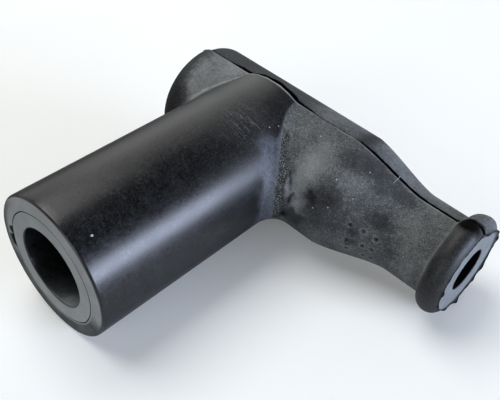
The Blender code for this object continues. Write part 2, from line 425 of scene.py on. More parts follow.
def seam_lines(side):
    """Three matching lines over the parting plane, on top (side 1) or below (-1), from the closed
    end's middle to the lip's: where the front surfaces stop, the rim of the barrel's half, and the
    plain half's outline with its flash."""
    pair = side * np.array([RIM_ANGLE, pi / 2])
    closed = arm_points(*arm_left(pair), pair[:, None])[:, ::-1]
    end_roll = fillet(-1, END_BALL, pair, np.linspace(0, 1, END_ROLL_ROWS))[:, ::-1][:, 1:]
    _, _, top_angle, top_end = barrel_columns()
    rim_right = asin((ARM_RADIUS + ELBOW_BALL) / (BARREL_RADIUS + ELBOW_BALL))
    rim_left = pi - asin((ARM_RADIUS + END_BALL) / (BARREL_RADIUS + END_BALL))
    rim_angle = np.linspace(rim_left, rim_right, TOP_COLUMNS + 1)
    top_start = turned(top_end[::-1], BARREL_RADIUS, side * top_angle[::-1], "Y")
    top = np.stack([top_start, turned(0.0, BARREL_RADIUS, side * rim_angle, "Y")])[:, 1:]
    elbow_roll = fillet(1, ELBOW_BALL, pair, np.linspace(0, 1, ELBOW_ROLL_ROWS))[:, 1:]
    right = arm_points(*arm_right(pair), pair[:, None])[:, 1:]
    front = np.concatenate([closed, end_roll, top, elbow_roll, right], 1)

    left_along, left_out, left_flash = (line[0, ::-1] for line in arm_left(pair[1:], PARTING_STEP))
    right_along, right_out, right_flash = (line[0, 1:] for line in arm_right(pair[1:], PARTING_STEP))
    between = np.concatenate([end_roll, top, elbow_roll], 1)[1, :, 0]
    along = np.concatenate([left_along, between, right_along])
    out = np.concatenate([left_out, ARM_RADIUS - PARTING_STEP + 0 * between, right_out])
    flash = np.concatenate([left_flash, 0 * between, right_flash])
    return front[0], front[1], along, out, flash


def line_normal(along, out):
    """Outward normals of an outline that runs towards +X: its tangent turned by a right angle."""
    tangent = np.stack([np.gradient(along), np.gradient(out)], -1)
    tangent /= np.maximum(np.linalg.norm(tangent, axis=-1, keepdims=True), 1e-9)
    return np.stack([-tangent[:, 1], tangent[:, 0]], -1)


def groove_width(along):
    """The groove is widest where it bends round the barrel and on the taper and neck."""
    width = 0.42 + 0.48 * smooth((along + 9.5) / 3) * smooth((9 - along) / 3)
    return width + 0.36 * smooth((along - 15.5) / 3) - 0.2 * smooth((along - 34.4) / 0.4)


def seam_surface(side):
    """The parting line on top (side 1) or below (-1): a thin raised edge on the barrel's half,
    the step down behind it, a groove, and the plain half's edge. Rows run across the seam."""
    start, rim, along, out, flash = seam_lines(side)
    run = np.concatenate([[0], np.cumsum(np.linalg.norm(np.diff(rim, axis=0), axis=1))])
    up = line_normal(rim[:, 0], side * rim[:, 2])
    collar = np.maximum(out, np.abs(rim[:, 2]) - PARTING_STEP)
    normal = line_normal(along, collar)
    on_face = (along > LIP_PLACE - 0.01) * smooth((LIP_FACE_RADIUS - 0.1 - out) / 0.4)
    room = np.minimum(1.0, out / 2.0) * (1 - on_face)
    if side < 0:
        room = room * smooth((37.4 - along) / 0.4)
    width = groove_width(along)
    ragged = 1 + 0.2 * wander(run, 1.7, 20 + side) + 0.12 * wander(run, 0.7, 24 + side)
    width = width * ragged * np.maximum(room, 0.1)
    height = 0.04 + 0.07 * smooth((along + 6) / 3) * smooth((19 - along) / 4)
    height = height + 0.05 * smooth((-12.6 - along) / 0.8)
    height = height * (1 + 0.8 * wander(run, 0.9, 30 + side)) * smooth(room)
    depth = GROOVE_DEPTH * (1 + 0.25 * wander(run, 2.3, 40 + side)) * room

    lift = np.stack([up[:, 0], 0 * run, side * up[:, 1]], -1) * height[:, None]
    rows = []
    for share in (0.0, 0.35, 0.7, 1.0):
        rows.append(start + (rim - start) * share + lift * share**2)
    rows.append(rim + lift * 0.8 + np.array([0, 0.025, 0]) * room[:, None])

    edge = 0.17 + width
    across = [(depth, 0.05, 0.0), (depth, 0.05 + width, 0.0), (0.06 * room, 0.09 + width, 0.0)]
    across += [(0.01 * room, edge, 0.0)]
    for share in (0.2, 0.4, 0.6, 0.8):
        across.append((0.0, edge + (GROOVE_END - edge) * share, share))
    for sink, back, share in across:
        past = np.arcsin(back / np.maximum(out, 3.2))
        reach = collar + (out - collar) * smooth(share)
        place = along - normal[:, 0] * sink
        reach = np.maximum(reach - normal[:, 1] * sink, 0.0)
        rows.append(arm_points(place, reach, flash, side * (pi / 2 + past)))
    past = np.arcsin(GROOVE_END / np.maximum(out, 3.2))
    rows.append(arm_points(along, out, flash, side * (pi / 2 + past)))
    return np.stack(rows, 0)


def back_surface():
    """The plain half: its outline turned about X from the groove on top to the one below."""
    _, _, along, out, flash = seam_lines(1)
    start = np.arcsin(GROOVE_END / np.maximum(out, 3.2))
    share = np.linspace(0, 1, BACK_COLUMNS + 1)[:, None]
    angle = pi / 2 + start + (pi - 2 * start) * share
    return arm_points(along, out, flash * np.ones_like(angle), angle)


def closed_mesh(name, surfaces):
    """One closed mesh from surfaces on grids: four corners to a face, borders merged and all
    faces turned outwards."""
    points, faces, first = [], [], 0
    for surface in surfaces:
        rows, columns = surface.shape[:2]
        index = first + np.arange(rows * columns).reshape(rows, columns)
        corners = [index[:-1, :-1], index[1:, :-1], index[1:, 1:], index[:-1, 1:]]
        faces.append(np.stack(corners, -1).reshape(-1, 4))
        points.append(surface.reshape(-1, 3))
        first += rows * columns
    mesh = bpy.data.meshes.new(name)
    mesh.from_pydata(np.concatenate(points), [], np.concatenate(faces))
    builder = bmesh.new()
    builder.from_mesh(mesh)
    bmesh.ops.remove_doubles(builder, verts=builder.verts, dist=MERGE_DISTANCE)
    bmesh.ops.recalc_face_normals(builder, faces=builder.faces)
    builder.to_mesh(mesh)
    builder.free()
    obj = bpy.data.objects.new(name, mesh)
    bpy.context.scene.collection.objects.link(obj)
    return obj


def read(mesh, field="co"):
    """The places or the normals of a mesh's vertices, three numbers to a row."""
    values = np.empty(len(mesh.vertices) * 3)
    mesh.vertices.foreach_get(field, values)
    return values.reshape(-1, 3)


def write(mesh, points):
    """Moves a mesh's vertices to these points."""
    mesh.vertices.foreach_set("co", np.asarray(points, np.float32).ravel())
    mesh.update()


def cut(obj, core):
    """Takes a core out of a piece and applies the result."""
    modifier = obj.modifiers.new(core.name, "BOOLEAN")
    modifier.operation = "DIFFERENCE"
    modifier.solver = "EXACT"
    modifier.object = core
    shown = obj.evaluated_get(bpy.context.evaluated_depsgraph_get())
    made = bpy.data.meshes.new_from_object(shown)
    obj.modifiers.clear()
    obj.data = made
    bpy.data.objects.remove(core, do_unlink=True)


def cores():
    """The pins that leave the plug's bore with its shoulder and pocket, and the lead's bore."""
    angle = np.linspace(0, 2 * pi, 161)[:, None]
    mouth = -BARREL_REACH
    flare = bow((mouth + BORE_EDGE, BORE_RADIUS + BORE_EDGE), BORE_EDGE, -pi, -pi / 2, 6)
    shoulder = -SHOULDER_PLACE
    wall = np.linspace(mouth + 1.2, shoulder, 10)
    steps = [shoulder + SHOULDER_LENGTH, POCKET_FLOOR, POCKET_FLOOR]
    plug_along = [mouth - 1, mouth - 1, mouth, *flare[0], *wall, *steps]
    start = BORE_RADIUS + BORE_EDGE
    plug_out = [0, start, start, *flare[1], *(BORE_RADIUS + 0 * wall), POCKET_RADIUS, POCKET_RADIUS, 0]
    plug = turned(np.array(plug_along)[None], np.array(plug_out)[None], angle, "Y")
    edge = 0.2
    flare = bow((LIP_PLACE - edge, LEAD_BORE + edge), edge, -pi / 2, 0, 5)
    lead_along = [0, 0, LIP_PLACE - edge, *flare[0], LIP_PLACE + 1.5, LIP_PLACE + 1.5]
    lead_out = [0, LEAD_BORE, LEAD_BORE, *flare[1], LEAD_BORE + edge, 0]
    lead = turned(np.array(lead_along)[None], np.array(lead_out)[None], angle, "X")
    return closed_mesh("plug_core", [plug]), closed_mesh("lead_core", [lead])


def away_from(points, places):
    """The distance from each point to the nearest of the given places."""
    return np.min([np.linalg.norm(points - np.array(place), axis=-1) for place in places], axis=0)


def corner_share(points):
    """Where a point lies in the elbow's rolled corner: 0 at the barrel, 1 at the arm, and the
    angle round the arm. Outside the corner the share runs on below 0 and above 1."""
    x, y, z = points.T
    past_barrel = np.hypot(x, z) - BARREL_RADIUS
    past_arm = np.hypot(y, z) - ARM_RADIUS
    share = past_barrel / np.maximum(past_barrel + past_arm, 1e-3)
    return share, np.degrees(np.arctan2(z, -y))


def crescent_of(points):
    """How much a point belongs to the crinkled crescent in the corner."""
    share, angle = corner_share(points)
    frayed = share + 0.07 * lumps(points, 0.7, 51)
    first, last = CRESCENT_SHARES
    lowest, highest = CRESCENT_ANGLES
    limit = last + 0.13 * smooth((angle - 18) / 20)
    within = smooth((frayed - first) / 0.06) * smooth((limit - frayed) / 0.06)
    ends = smooth((angle - lowest - 6 * lumps(points, 1.1, 52)) / 10) * smooth((highest - angle) / 4)
    return within * ends * (points[:, 0] > 0) * (points[:, 1] < 0)


def rubber_boot():
    """The whole moulding: its surfaces joined, crinkled and pitted, and then cored."""
    surfaces = [barrel_surface()]
    right = np.linspace(-RIM_ANGLE, RIM_ANGLE, ELBOW_COLUMNS + 1)
    left = np.linspace(-RIM_ANGLE, RIM_ANGLE, END_COLUMNS + 1)
    surfaces.append(fillet(1, ELBOW_BALL, right, np.linspace(0, 1, ELBOW_ROLL_ROWS)))
    surfaces.append(fillet(-1, END_BALL, left, np.linspace(0, 1, END_ROLL_ROWS)))
    surfaces.append(arm_points(*arm_right(right), right[:, None]))
    surfaces.append(arm_points(*arm_left(left), left[:, None]))
    surfaces += [seam_surface(1), seam_surface(-1), back_surface()]
    boot = closed_mesh("moulded_rubber_boot", surfaces)

    points = read(boot.data)
    normals = read(boot.data, field="normal")
    pits = hump(away_from(points, PITS), 0.27)
    along_crescent = points * (1.0, 0.45, 0.55)
    crinkle = np.abs(lumps(along_crescent, 0.3, 61)) + 0.6 * lumps(points, 0.8, 62)
    sunk = 0.22 * pits + 0.15 * crescent_of(points) * crinkle
    write(boot.data, points - normals * sunk[:, None])

    for core in cores():
        cut(boot, core)
    boot.data.shade_smooth()
    boot.data.set_sharp_from_angle(angle=radians(38))
    return boot


def settled_dust():
    """Crumbs of dust half sunk into the surface, and one short fibre across the parting line."""
    across = np.linspace(0, pi, 9)[:, None]
    round_it = np.linspace(0, 2 * pi, 13)[None]
    level = np.cos(across) + 0 * round_it
    ball = np.stack([np.sin(across) * np.cos(round_it), np.sin(across) * np.sin(round_it), level], -1)
    surfaces = [np.array(crumb[:3]) + crumb[3] * ball * (1.0, 1.2, 0.8) for crumb in DUST]
    share = np.linspace(0, 1, 13)[:, None]
    first, middle, last = (np.array(point) for point in FIBRE)
    bent = (1 - share) ** 2 * first + 2 * share * (1 - share) * middle + share**2 * last
    surfaces.append(tube(bent, FIBRE_RADIUS, 8))
    return closed_mesh("settled_dust", surfaces)


def join(piece, extra):
    """Puts the extra mesh into the piece, with its own material."""
    extra.data.shade_smooth()
    with bpy.context.temp_override(active_object=piece, selected_editable_objects=[piece, extra]):
        bpy.ops.object.join()


def tube(path, radius, sides):
    """A round wire along a path: rings square to the path, each turned as little as possible
    from the one before, with both ends closed to a point."""
    path = np.asarray(path, float)
    tangent = np.gradient(path, axis=0)
    tangent /= np.linalg.norm(tangent, axis=1, keepdims=True)
    side = np.cross(tangent[0], [0.3, 1.0, 0.2])
    turned_sides = []
    for direction in tangent:
        side = side - direction * (side @ direction)
        side = side / np.linalg.norm(side)
        turned_sides.append(side)
    across = np.array(turned_sides)
    other = np.cross(tangent, across)
    angle = np.linspace(0, 2 * pi, sides + 1)[None, :, None]
    body = path[:, None] + radius * (across[:, None] * np.cos(angle) + other[:, None] * np.sin(angle))
    ends = [np.broadcast_to(path[i], (1, sides + 1, 3)) for i in (0, -1)]
    return np.concatenate([ends[0], body, ends[1]])


def wire_terminal():
    """The coil about the barrel's axis, whose end crosses to the arm's axis and runs along it."""
    steps = COIL_TURNS * 48
    step = np.arange(steps + 25)
    angle = -pi / 2 - 2 * pi * (steps + 24 - step) / 48
    wound = -COIL_PITCH - COIL_PITCH * (steps - step) / 48
    leaving = -COIL_PITCH * (1 - (step - steps) / 24)
    along = np.where(step <= steps, wound, leaving)
    coil = np.stack([COIL_RADIUS * np.cos(angle), along, COIL_RADIUS * np.sin(angle)], -1)
    share = np.linspace(0, 1, 25)[1:]
    rise = np.stack([SPIKE_RISE * share, 0 * share, -COIL_RADIUS * (1 - smooth(share))], -1)
    run = np.linspace(SPIKE_RISE, SPIKE_REACH, 20)[1:]
    spike = np.stack([run, 0 * run, 0 * run], -1)
    wire = tube(np.concatenate([coil, rise, spike]), WIRE_RADIUS, 16)
    return closed_mesh("spring_wire_terminal", [wire])


def lay_down(pieces):
    """Turns the pieces about the barrel until barrel and bead touch one level floor, and shifts
    them to where the frame holds the boot."""
    reach = hypot(BEAD_PLACE, BEAD_RING)
    tilt = asin((BARREL_RADIUS - BEAD_RADIUS) / reach) - atan2(BEAD_RING, BEAD_PLACE)
    turn = np.array(Matrix.Rotation(tilt, 3, "Y"))
    low = np.array(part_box("rubber_boot")[0]) / MM
    laid = read(pieces[0].data) @ turn.T
    shift = np.array([low[0] - laid[:, 0].min(), low[1] + BARREL_REACH, BARREL_RADIUS])
    for piece in pieces:
        write(piece.data, (read(piece.data) @ turn.T + shift) * MM)
    return turn


def linear(colour):
    """An sRGB hex colour as linear values with alpha."""
    levels = [int(colour[i : i + 2], 16) / 255 for i in (1, 3, 5)]
    return (*(v / 12.92 if v <= 0.04045 else ((v + 0.055) / 1.055) ** 2.4 for v in levels), 1.0)


def material(name):
    """A new material, its node tree and its shader."""
    made = bpy.data.materials.new(name)
    made.use_nodes = True
    tree = made.node_tree
    return made, tree, tree.nodes["Principled BSDF"]


def add(tree, kind, inputs=(), out=0, **settings):
    """Adds one node, sets its options, fills its inputs with values or links, and returns one of
    its outputs. The inputs come in their order, or by name or number. A map range has its value
    first, then the stretch it is on, and the stretch it goes to, which is 0 to 1 if not given."""
    made = tree.nodes.new("ShaderNode" + kind)
    for name, value in settings.items():
        setattr(made, name, value)
    for key, value in inputs.items() if isinstance(inputs, dict) else enumerate(inputs):
        if isinstance(value, bpy.types.NodeSocket):
            tree.links.new(value, made.inputs[key])
        else:
            made.inputs[key].default_value = value
    return made.outputs[out]


def paint_boot(boot):
    """Values for the boot's material at each point, worked out from where the point lies."""
    points = read(boot.data)
    x, y, z = points.T
    around = np.hypot(x, z)
    out = np.hypot(y, z)
    share, angle = corner_share(points)
    _, rim, along, plain, _ = seam_lines(1)
    rim_out = np.interp(x, rim[:, 0], rim[:, 2])
    back_out = np.maximum(np.interp(x, along, plain), rim_out - PARTING_STEP)
    coarse, middling, small = lumps(points, 3.6, 71), lumps(points, 1.5, 72), lumps(points, 0.6, 73)
    cloud = 0.5 * coarse + 0.3 * middling + 0.2 * small

    # Which part a point belongs to, from 0 to 1
    outside = (out > back_out - 1.0) | (around > BORE_RADIUS + 0.3)
    back = smooth((y - 0.02) / 0.05)
    crescent = crescent_of(points)
    barrel = (1 - smooth((share - 0.04) / 0.3)) * (1 - back) * (y < 0)
    bead = smooth((x - 35.0 - 0.15 * middling) / 0.6) * smooth((out - 6.7) / 0.3)
    bead *= 1 - smooth((y - 0.9) / 0.2) * (z > 0)

    # The bloom on the arm with its patches, and on the closed end and the plain half. Painted shade
    # darkens the closed end over its rounding and towards its lower side.
    frayed_x = x + 0.5 * middling + 0.3 * small
    frayed_angle = angle + 4 * small + 3 * lumps(points, 1.5, 74)
    bloom = 0.59 + 0.16 * cloud
    for place, turn_to, reach, amount in PATCHES:
        away = np.hypot(frayed_x - place, MIDDLING_RADIUS * np.radians(frayed_angle - turn_to))
        bloom += amount * smooth(1.5 * hump(away, reach)) * (1 - back)
    closed = smooth((-4 - x) / 3)
    # Painted shade: the closed end's tone falls off over its rounding and towards its lower side, with a
    # middling floor on the flat end.
    rounding = smooth((x + 15.6 + 0.3 * small - 2.6 * smooth((58 - angle) / 30)) / 3.9)
    end_bloom_and_shade = (0.74 + 0.16 * cloud) * rounding * smooth((angle + 10) / 50)
    flat = smooth((7.6 - out) / 1.6)
    flat = np.maximum(flat, 0.25 * smooth((-10 - angle) / 20))
    end_bloom_and_shade += (0.42 + 0.2 * cloud - end_bloom_and_shade) * flat
    end_bloom_and_shade += (0.56 + 0.16 * cloud - end_bloom_and_shade) * back
    bloom += (end_bloom_and_shade - bloom) * closed
    bloom -= (0.45 * hump(x - 17.2, 1.1) + 0.27 * smooth((8.5 - x) / 4)) * back

    # Pale rims round the pits, then the bead, the crescent, the barrel with a painted sheen along its
    # top, and the closed end's corner
    from_pit = away_from(points, PITS)
    bloom += 0.13 * hump(from_pit - 0.5, 0.16)
    bloom *= 1 - 0.95 * bead
    bloom += 0.08 * bead * smooth((36.0 - x) / 0.6)
    bloom += (0.12 + 0.25 * small - bloom) * crescent
    from_scuff = np.hypot(x - SCUFF_PLACE[0], (y - SCUFF_PLACE[1]) * 0.8)
    scuffed = hump(from_scuff, SCUFF_REACH) * (z > 6) * barrel
    # Painted sheen: a pale band along the barrel's upper side, growing towards the elbow, stands in for
    # the soft reflection there.
    round_barrel = np.degrees(np.arctan2(x, z))
    painted_top_sheen = hump(round_barrel + 24 + 4 * middling, 24) * smooth((y + 27) / 17)
    barrel_bloom_and_sheen = 0.05 * coarse - 0.04 + 0.06 * scuffed + (0.36 + 0.08 * middling) * painted_top_sheen
    bloom += (barrel_bloom_and_sheen - bloom) * barrel
    flow = hump(share - 0.82, 0.12) * smooth((angle - 30) / 15) * (x < 0) * (y < 0.02)
    bloom += (0.3 + 0.25 * small) * flow

    # The worn band between barrel and crescent: pale and bluish, partly real wear and partly a painted
    # highlight
    wear_and_highlight = smooth((ARM_RADIUS + 4.5 + 0.7 * middling - out) / 1.5) * smooth((0.46 - share) / 0.1)
    wear_and_highlight *= smooth((angle + 42) / 16) * smooth((63 - 30 * np.maximum(0.4 - share, 0) - angle) / 7)
    wear_and_highlight *= smooth((x - 5) / 3) * (y < 0) * (1 - crescent)

    # The flat faces of mouth and lip, and the bore, with painted light on one side near its mouth and
    # painted shade deeper in
    mouth = smooth((-BARREL_REACH + 0.12 - y) / 0.1) * smooth((around - BORE_RADIUS + 0.05) / 0.2)
    ring = np.degrees(np.arctan2(z, x))
    face_bloom_and_shade = 1.06 + 0.1 * cloud + 0.1 * hump(around - 7.4, 0.7)
    # The mouth face's rim is darker towards the bottom, and painted shade darkens its left edge.
    below = smooth((-z - 1.5 * middling) / 5) * smooth((around - RING_LINE_RADIUS) / 0.3)
    left = smooth((np.abs(ring) - 120) / 50) * smooth((around - 9.2) / 1.0)
    face_bloom_and_shade -= 0.5 * np.maximum(below, left) + 0.05 * smooth((around - RING_LINE_RADIUS) / 0.3)
    bloom += (face_bloom_and_shade - bloom) * mouth
    lip = smooth((x - LIP_PLACE + 0.03) / 0.02) * smooth((LIP_FACE_RADIUS - 0.14 - out) / 0.05)
    bloom += (0.78 + 0.08 * small - bloom) * lip
    inside = smooth((BORE_RADIUS + 0.1 - around) / 0.1) * (y < 0)
    inside *= smooth((y + BARREL_REACH - 0.02) / 0.2)
    # Painted light and shade in the bore: pale on one side near the mouth, darker deeper in.
    deep = smooth((y + BARREL_REACH) / 5.0)
    lit = 0.1 + 0.9 * hump(ring + 60, 36)
    bloom += ((1.0 + 0.1 * middling) * (1 - deep) * lit - bloom) * inside * (1 - mouth)

    # What is black: torn edges, and painted shade in the groove, the ring line, pits, cracks, where the
    # seam meets the bead's top, and the depths of both holes
    lead_hole = (out < LEAD_BORE + 0.05) * (x > 0) * (x < LIP_PLACE - 0.12)
    groove = (y > 0.015) * (y < 0.12 + 1.3 * groove_width(x)) * (out > back_out - 0.8)
    groove = groove * smooth((back_out - 0.02 - out) / 0.03) * (x < LIP_PLACE - 0.2)
    stepped = BEAD_STEP * smooth(y / 0.3) * smooth((z + 1) / 2)
    torn = (x > LIP_PLACE + 0.02 + stepped) * smooth((out - LIP_FACE_RADIUS + 0.25) / 0.05)
    notch = np.hypot(y + 0.75, (x - 36.3 - 0.3 * middling) * 0.7)
    seam_on_bead = smooth(1.7 * hump(notch, 1.0) + 0.2 * small) * (z > 0) * (out > 6.4) * (x > 34.7)
    seam_on_bead *= y < 0.3
    sunk_ring = smooth((y + BARREL_REACH - 0.02) / 0.05) * (y < -BARREL_REACH + 1.4)
    sunk_ring = sunk_ring * (around > RING_LINE_RADIUS - 0.4) * (around < 9.9)
    tear = smooth((TEAR_SPREAD + 1.5 - np.abs((ring % 360) - TEAR_ANGLE)) / 3)
    # Painted shade in the ring line, weaker on its upper right side.
    faint = 0.3 + 0.6 * smooth((np.abs((ring - 50 + 180) % 360 - 180) - 40) / 50)
    faint = np.maximum(faint, tear)
    black = np.max([groove, torn, seam_on_bead, sunk_ring * faint], axis=0)
    line = share - 0.93 + 0.16 * smooth((10 - angle) / 20) - 0.05 * lumps(points, 1.2, 82)
    crease = 0.75 * hump(line, 0.04) * smooth((angle + 16) / 4) * smooth((36 - angle) / 6)
    crease *= smooth(0.75 + lumps(points, 0.7, 83))
    crease = np.maximum(crease, hump(np.hypot((share - 0.8) * 6, (angle + 9) * 0.17), 0.7))
    crease *= (x > 0) * (y < 0)
    # Painted shade in the pits.
    black = np.maximum(black, 1.2 * hump(from_pit, 0.25)) * outside
    # Painted shade in the depths of the plug's bore.
    dark_bore = inside * smooth((y + BARREL_REACH - 7) / 8)
    black = np.max([black, crease, lead_hole, dark_bore], axis=0)

    # A painted highlight along the pale raised edge of the parting line, and the pale line at the root
    # of the bead
    edge = smooth((y + 0.2) / 0.08) * (y < 0.03) * (z > 0) * (out > rim_out - 0.2) * (x < 34)
    edge *= 0.42 + 0.58 * smooth((x + 7.5) / 2) * smooth((7.5 - x) / 2) + 0.5 * wander(x, 1.9, 81)
    root = hump(x - 34.75, 0.16) * (y < 0.02) * (out < 7.6) * (0.35 + 0.3 * small)
    edge = np.maximum(edge, root)
    rubbed = 0.5 * scuffed + 0.15 * smooth((y + 24) / 12)
    polish = np.maximum(barrel * (1 - rubbed), 0.55 * bead)
    # The bloom also carries painted shade on the closed end and mouth face, a painted sheen on the
    # barrel and painted light in the bore; black is mostly painted shade.
    values = {"bloom": bloom, "polish": polish, "black": black, "edge": edge, "wear_and_highlight": wear_and_highlight}
    values |= {"crinkle": crescent, "scuff": scuffed, "face": np.maximum(mouth, lip)}
    for name, value in values.items():
        layer = boot.data.attributes.new(name, "FLOAT", "POINT")
        layer.data.foreach_set("value", np.clip(value, 0, 1).astype(np.float32))


def boot_rubber(turn):
    """Moulded black rubber. A grey bloom of wax lies on it unevenly: hardly any on the polished
    barrel and the bead, more on the dull arm, and most on the faces that the mould's pins left.
    Fine grain breaks it up. Worn places are paler, partly by a painted highlight, and torn edges are
    black; grooves, pits, the ring line and the holes' depths are painted black as shade, and the grey
    tone also holds painted shade, sheen and light."""
    made, tree, shader = material("moulded_black_rubber")
    place = add(tree, "TexCoord", out=3)
    names = ("bloom", "polish", "black", "edge", "wear_and_highlight", "crinkle", "scuff", "face")
    value = {name: add(tree, "Attribute", out=2, attribute_name=name) for name in names}
    noises = []
    for size, detail, roughness in ((FINE_GRAIN, 3.0, 0.7), (FLECKS, 4.0, 0.75), (SMUDGES, 3.0, 0.6)):
        inputs = {"Vector": place, "Scale": 1 / (size * MM), "Detail": detail, "Roughness": roughness}
        noises.append(add(tree, "TexNoise", inputs))
    fine, flecks, smudges = noises
    dull = add(tree, "Math", [1.0, value["polish"]], operation="SUBTRACT")
    off_faces = add(tree, "Math", [1.0, value["face"]], operation="SUBTRACT")

    # The bloom's tone, broken up by grain, goes from bare rubber over grey to pale wax. It also holds
    # the painted shade, sheen and light set on the points.
    contrast = add(tree, "MapRange", [value["bloom"], 0.0, 1.0, 1.6, 0.65])
    smoother = add(tree, "Math", [value["face"], -0.7, 1.0], operation="MULTIPLY_ADD")
    grainy = add(tree, "Math", [dull, 0.35, 0.55], operation="MULTIPLY_ADD")
    grainy = add(tree, "Math", [grainy, contrast], operation="MULTIPLY")
    grainy = add(tree, "Math", [grainy, smoother], operation="MULTIPLY")
    mottled = add(tree, "Math", [grainy, 0.5], operation="MULTIPLY")
    tone = value["bloom"]
    for noise, amount in ((fine, grainy), (flecks, mottled)):
        level = add(tree, "Math", [noise, 0.5], operation="SUBTRACT")
        tone = add(tree, "Math", [level, amount, tone], operation="MULTIPLY_ADD")
    smudged = add(tree, "MapRange", [smudges, 0.45, 0.75, 0.0, 0.1])
    tone = add(tree, "Math", [smudged, value["polish"], tone], operation="MULTIPLY_ADD")
    grey = add(tree, "MapRange", [tone, 0.0, 0.5])
    waxy = add(tree, "MapRange", [tone, 0.5, 1.1])

    # Single pale grains, fewer on polish and none on the faces, and the worn band, partly a painted
    # highlight
    fewer = add(tree, "Math", [dull, 0.75, 0.25], operation="MULTIPLY_ADD")
    pale = add(tree, "MapRange", [fine, 0.58, 0.74, 0.0, 0.22])
    for factor in (contrast, fewer, off_faces):
        pale = add(tree, "Math", [pale, factor], operation="MULTIPLY")
    wear_and_highlight = add(tree, "MapRange", [flecks, 0.35, 0.65, 0.2, 0.75])
    wear_and_highlight = add(tree, "Math", [wear_and_highlight, value["wear_and_highlight"]], operation="MULTIPLY")

    # Hairline scuffs: noise stretched along two directions and kept only at its peaks
    lines = []
    for seed, ahead in ((0.0, (0.16, 0.03, 0.0)), (40.0, (0.15, -0.02, 0.05))):
        forward = np.array(ahead) @ turn.T / MM
        across = np.array((1.6 * ahead[1] / 0.1, 5.5, 1.0)) @ turn.T / MM
        first = add(tree, "VectorMath", [place, tuple(forward)], out=1, operation="DOT_PRODUCT")
        second = add(tree, "VectorMath", [place, tuple(across)], out=1, operation="DOT_PRODUCT")
        stretched = add(tree, "CombineXYZ", [first, second, seed])
        hairline = add(tree, "TexNoise", {"Vector": stretched, "Scale": 1.0, "Detail": 1.0})
        lines.append(add(tree, "MapRange", [hairline, 0.64, 0.7]))
    gaps = add(tree, "MapRange", [flecks, 0.35, 0.6])
    specks = add(tree, "MapRange", [fine, 0.6, 0.75, 0.0, 0.8])
    rubbed = add(tree, "MapRange", [value["scuff"], 0.25, 0.8, 0.0, 0.28])
    scratches = add(tree, "Math", lines, operation="MAXIMUM")
    scratches = add(tree, "Math", [scratches, gaps], operation="MULTIPLY")
    scratches = add(tree, "Math", [scratches, specks], operation="MAXIMUM")
    scratches = add(tree, "Math", [scratches, rubbed], operation="MULTIPLY")

    # Bare rubber, and over it one tone after the other, each by its own share
    crumbs = add(tree, "MapRange", [fine, 0.5, 0.62, 0.0, 0.8])
    crumbs = add(tree, "Math", [crumbs, value["crinkle"]], operation="MULTIPLY")
    # The pale edge tone is a painted highlight along the parting line.
    edge = add(tree, "Math", [value["edge"], 0.8], operation="MULTIPLY")
    tones = [(grey, "#3b3e40"), (waxy, "#989d9e"), (pale, "#878c8c"), (wear_and_highlight, "#5b606c")]
    tones += [(scratches, "#9ea1a4"), (crumbs, "#848987"), (edge, "#8f9394")]
    # Black over all: torn edges, and painted shade in grooves, pits, cracks, the ring line and the
    # holes.
    tones += [(value["black"], "#050506")]
    colour = linear("#07080a")
    for share, shade in tones:
        colour = add(tree, "Mix", {0: share, 6: colour, 7: linear(shade)}, out=2, data_type="RGBA")
    tree.links.new(colour, shader.inputs["Base Color"])

    # Polished rubber is glossy, the rest matt, and cut faces and torn places are dry.
    gloss = add(tree, "MapRange", [flecks, 0.3, 0.7, 0.21, 0.31])
    gloss = add(tree, "Math", [smudges, 0.1, gloss], operation="MULTIPLY_ADD")
    dry = add(tree, "Math", [value["face"], value["black"]], operation="MAXIMUM")
    rough = add(tree, "MapRange", [fine, 0.3, 0.7, 0.6, 0.85])
    for share, level in ((value["polish"], gloss), (value["wear_and_highlight"], 0.5), (dry, 0.9)):
        rough = add(tree, "Mix", {0: share, 2: rough, 3: level})
    tree.links.new(rough, shader.inputs["Roughness"])
    shader.inputs["IOR"].default_value = 1.5
    # The black places, mostly painted shade, lose most of their specular as well.
    hollow = add(tree, "Math", [value["black"], -0.84, 1.0], operation="MULTIPLY_ADD")
    shine = add(tree, "Math", [dull, -0.16, 0.5], operation="MULTIPLY_ADD")
    shine = add(tree, "Math", [shine, hollow], operation="MULTIPLY")
    tree.links.new(shine, shader.inputs["Specular IOR Level"])

    # The grain stands up most where the rubber is dull, and more where it is crinkled.
    grip = add(tree, "Math", [dull, 0.85, 0.15], operation="MULTIPLY_ADD")
    height = add(tree, "Math", [fine, grip], operation="MULTIPLY")
    crinkled = add(tree, "Math", [flecks, value["crinkle"]], operation="MULTIPLY")
    height = add(tree, "Math", [crinkled, 3.0, height], operation="MULTIPLY_ADD")
    bump = add(tree, "Bump", {"Height": height, "Distance": 0.06 * MM, "Strength": 0.6})
    tree.links.new(bump, shader.inputs["Normal"])
    return made


def dust():
    """Pale dry crumbs and lint."""
    made, _, shader = material("pale_dust")
    shader.inputs["Base Color"].default_value = linear("#a9aaa8")
    shader.inputs["Roughness"].default_value = 0.95
    return made


def spring_steel():
    """Plated spring wire: bright, a little drawn and dulled."""
    made, tree, shader = material("plated_spring_wire")
    place = add(tree, "TexCoord", out=3)
    streaks = add(tree, "TexNoise", {"Vector": place, "Scale": 1 / (WIRE_STREAKS * MM)})
    shader.inputs["Metallic"].default_value = 1.0
    tones = {0: streaks, 6: linear("#b9b8b2"), 7: linear("#d2d1cb")}
    tree.links.new(add(tree, "Mix", tones, out=2, data_type="RGBA"), shader.inputs["Base Color"])
    rough = add(tree, "MapRange", [streaks, 0.3, 0.7, 0.24, 0.4])
    tree.links.new(rough, shader.inputs["Roughness"])
    return made


